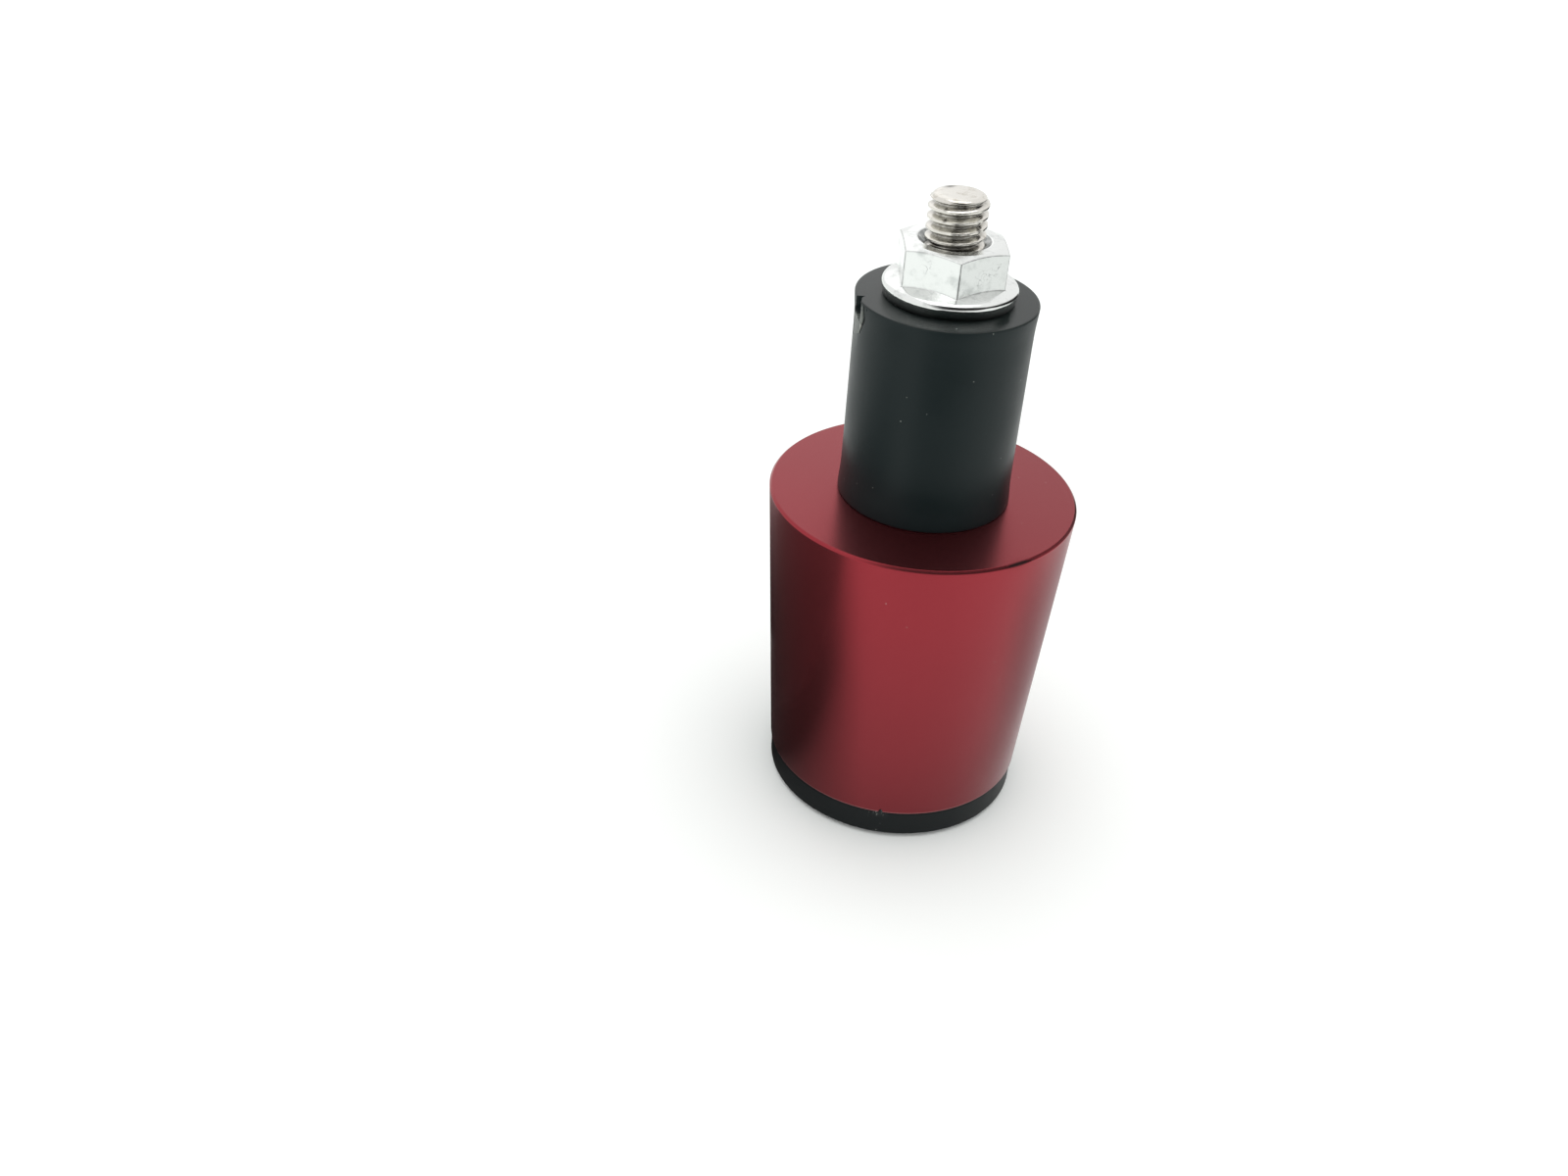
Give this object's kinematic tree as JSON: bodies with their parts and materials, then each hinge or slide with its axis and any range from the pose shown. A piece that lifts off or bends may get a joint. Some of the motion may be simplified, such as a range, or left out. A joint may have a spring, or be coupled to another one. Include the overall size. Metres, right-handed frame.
{
  "type": "handlebar end weight",
  "caption": "Tapered red metal end weight for a handlebar, with a plastic cap and a rubber bush that a long socket screw and flange nut squeeze to grip the bar's bore.",
  "frame": {"origin": "centre of the end cap's outer face, which the part stands on", "axes": "+Z along the screw, from the cap towards the bush and the nut, which go into the handlebar"},
  "size_m": [0.0326, 0.0326, 0.0692],
  "materials": {
    "anodised_body": "satin red anodised, turned",
    "cap_plastic": "black moulded, satin",
    "bush_rubber": "black, matte",
    "zinc_nut": "bright zinc plated",
    "nickel_screw": "nickel plated"
  },
  "bodies": {
    "weight": {"weight_body": "anodised_body", "end_cap": "cap_plastic", "expander_bush": "bush_rubber"},
    "screw": {"socket_bolt": "nickel_screw"},
    "nut": {"flange_nut": "zinc_nut"}
  },
  "joints": [
    {"name": "screw_turn", "type": "hinge", "parent": "weight", "child": "screw", "pos_m": [0, 0, 0.00885], "axis": [0, 0, 1], "range_deg": [0, 990]},
    {"name": "nut_travel", "type": "slide", "parent": "weight", "child": "nut", "axis": [0, 0, -1], "range_m": [0, 0.00275], "deforming": ["expander_bush"]}
  ],
  "couplings": [
    {"joint": "screw_turn", "follows": "nut_travel", "rad_per_m": 6283.2}
  ]
}
